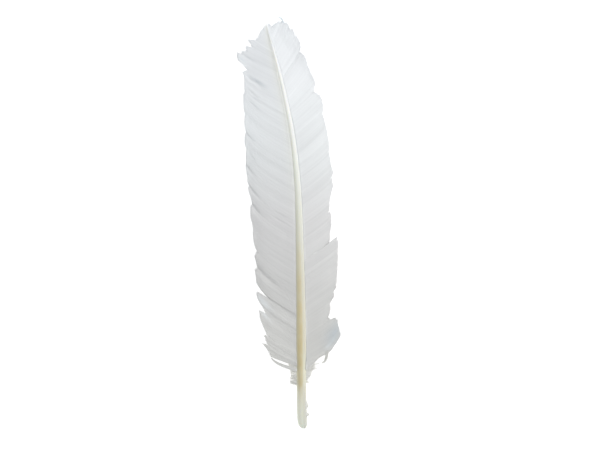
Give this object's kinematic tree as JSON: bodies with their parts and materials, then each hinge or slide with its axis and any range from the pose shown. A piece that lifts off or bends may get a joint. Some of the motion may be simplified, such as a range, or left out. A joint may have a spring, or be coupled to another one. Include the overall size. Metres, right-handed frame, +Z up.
{
  "type": "goose quill feather",
  "caption": "White goose wing quill lying outer face up: bare round barrel, arched tapering shaft, broad and narrow vanes with split edges, tufts of down at the foot.",
  "frame": {"origin": "middle of the footprint, on the surface that the feather lies on", "axes": "+Y from the barrel to the tip, +Z up out of the smooth outer face, +X towards the narrow outer vane"},
  "size_m": [0.073, 0.2914, 0.016],
  "materials": {
    "horn": "satin",
    "vane": "matte",
    "down": "matte",
    "sheath": "matte"
  },
  "bodies": {
    "root": {"quill_shaft": "horn", "inner_vane": "vane", "outer_vane": "vane", "inner_down": "down", "outer_down": "down", "stray_barb": "vane", "sheath_scrap_upper": "sheath", "sheath_scrap_lower": "sheath"}
  },
  "joints": []
}
